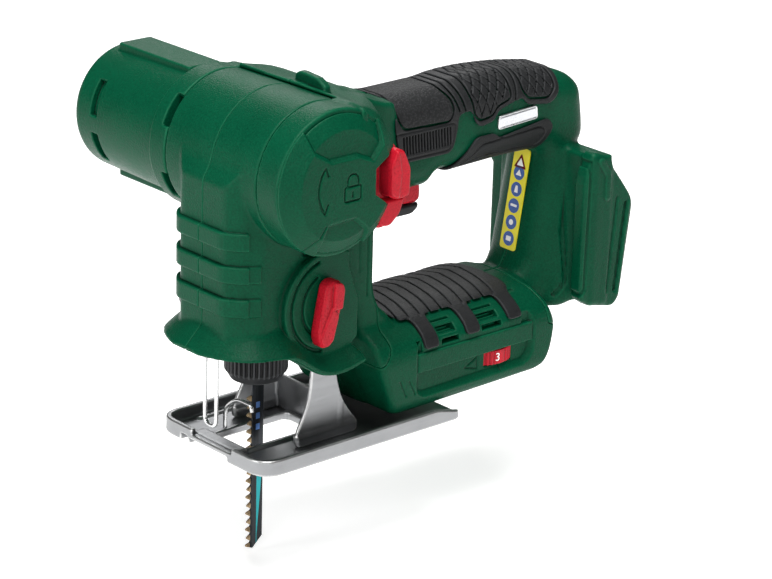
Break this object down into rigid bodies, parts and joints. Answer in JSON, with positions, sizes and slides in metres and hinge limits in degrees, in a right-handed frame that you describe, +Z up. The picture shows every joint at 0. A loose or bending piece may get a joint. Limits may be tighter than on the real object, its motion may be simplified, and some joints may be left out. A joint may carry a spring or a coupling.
{
  "type": "cordless jigsaw",
  "caption": "Cordless jigsaw and sabre saw with a head that pivots about a transverse motor barrel, a D-handle, a clamped steel shoe and a reciprocating blade.",
  "frame": {"origin": "on the underside of the shoe, in the blade's plane, on the solid web behind the blade opening", "axes": "+X is the cutting direction, +Y the tool's left, +Z up along the plunger"},
  "size_m": [0.2355, 0.1585, 0.2206],
  "materials": {
    "green_moulding": "fine spark-eroded grain",
    "soft_grip": "leather grain, ribs and diamond knurl",
    "black_moulding": "satin",
    "red_moulding": "satin",
    "bright_steel": "satin nickel plate",
    "dark_steel": "phosphated",
    "brass": "satin",
    "grey_casting": "die cast",
    "board": "solder mask",
    "yellow_label": "printed film",
    "silver_badge": "satin",
    "blade_steel": "black coat with a teal flash"
  },
  "bodies": {
    "handle": {"handle_shell_left": "green_moulding", "handle_shell_right": "green_moulding", "handle_screw_1": "dark_steel", "handle_screw_2": "dark_steel", "handle_screw_3": "dark_steel", "handle_screw_4": "dark_steel", "main_grip": "soft_grip", "under_grip": "soft_grip", "lower_grip": "soft_grip", "trigger_switch": "black_moulding", "control_board": "board", "terminal_block": "black_moulding", "contact_1": "brass", "contact_2": "brass", "contact_3": "brass", "lock_lever_pin": "bright_steel", "pivot_cap": "green_moulding", "near_trunnion": "bright_steel", "pictogram_strip": "yellow_label", "badge_plate": "silver_badge", "motor_cover": "green_moulding", "motor_can": "dark_steel", "magnet_front": "dark_steel", "magnet_rear": "dark_steel", "brush_holder": "black_moulding", "rear_bearing": "bright_steel", "motor_front_plate": "grey_casting"},
    "head": {"head_shell_left": "green_moulding", "head_shell_right": "green_moulding", "head_screw_1": "dark_steel", "head_screw_2": "dark_steel", "head_screw_3": "dark_steel", "wire_guard": "bright_steel", "gear_plate": "grey_casting", "front_bearing": "bright_steel", "crank_axle": "bright_steel", "plunger_frame": "grey_casting", "lower_bush": "brass", "upper_bush": "brass"},
    "rotor": {"rotor": "dark_steel", "cooling_fan": "black_moulding", "pinion": "bright_steel"},
    "crank": {"crank_gear": "bright_steel", "crank_roller": "brass"},
    "plunger": {"plunger": "bright_steel", "saw_blade": "blade_steel"},
    "chuck": {"chuck_sleeve": "black_moulding"},
    "trigger": {"trigger": "red_moulding", "trigger_foot": "soft_grip", "trigger_spring": "bright_steel"},
    "dial": {"speed_dial": "red_moulding"},
    "lock_lever": {"lock_lever": "red_moulding"},
    "clamp_lever": {"shoe_lever": "red_moulding", "clamp_shaft": "bright_steel"},
    "shoe": {"shoe": "bright_steel", "shoe_bracket": "bright_steel", "blade_guide": "bright_steel"}
  },
  "joints": [
    {"name": "head_pivot", "type": "hinge", "parent": "handle", "child": "head", "pos_m": [0.0255, 0, 0.1318], "axis": [0, -1, 0], "range_deg": [0, 90]},
    {"name": "rotor_spin", "type": "hinge", "parent": "head", "child": "rotor", "pos_m": [0.0255, 0, 0.1318], "axis": [0, 1, 0], "continuous": true},
    {"name": "crank_spin", "type": "hinge", "parent": "head", "child": "crank", "pos_m": [0.032, 0, 0.10354], "axis": [0, 1, 0], "continuous": true},
    {"name": "plunger_stroke", "type": "slide", "parent": "head", "child": "plunger", "axis": [0, 0, 1], "range_m": [-0.006, 0.014]},
    {"name": "chuck_twist", "type": "hinge", "parent": "plunger", "child": "chuck", "pos_m": [0.032, 0, 0.045], "axis": [0, 0, 1], "range_deg": [0, 50], "stiffness_Nm_per_rad": 0.1},
    {"name": "trigger_pull", "type": "slide", "parent": "handle", "child": "trigger", "axis": [0, 0, 1], "range_m": [0, 0.005], "stiffness_N_per_m": 400, "deforming": ["trigger_spring"]},
    {"name": "dial_turn", "type": "hinge", "parent": "handle", "child": "dial", "pos_m": [-0.0865, 0.018, 0.0227], "axis": [0, 0, 1], "range_deg": [-90, 135]},
    {"name": "lock_release", "type": "hinge", "parent": "handle", "child": "lock_lever", "pos_m": [-0.006, 0.0435, 0.138], "axis": [0, 1, 0], "range_deg": [0, 20], "stiffness_Nm_per_rad": 0.3},
    {"name": "clamp_release", "type": "hinge", "parent": "head", "child": "clamp_lever", "pos_m": [0.015, 0.0338, 0.07], "axis": [0, -1, 0], "range_deg": [0, 110]},
    {"name": "shoe_draw", "type": "slide", "parent": "head", "child": "shoe", "axis": [0, 0, -1], "range_m": [0, 0.018]}
  ],
  "couplings": [
    {"joint": "crank_spin", "follows": "rotor_spin", "ratio": -0.26087}
  ]
}
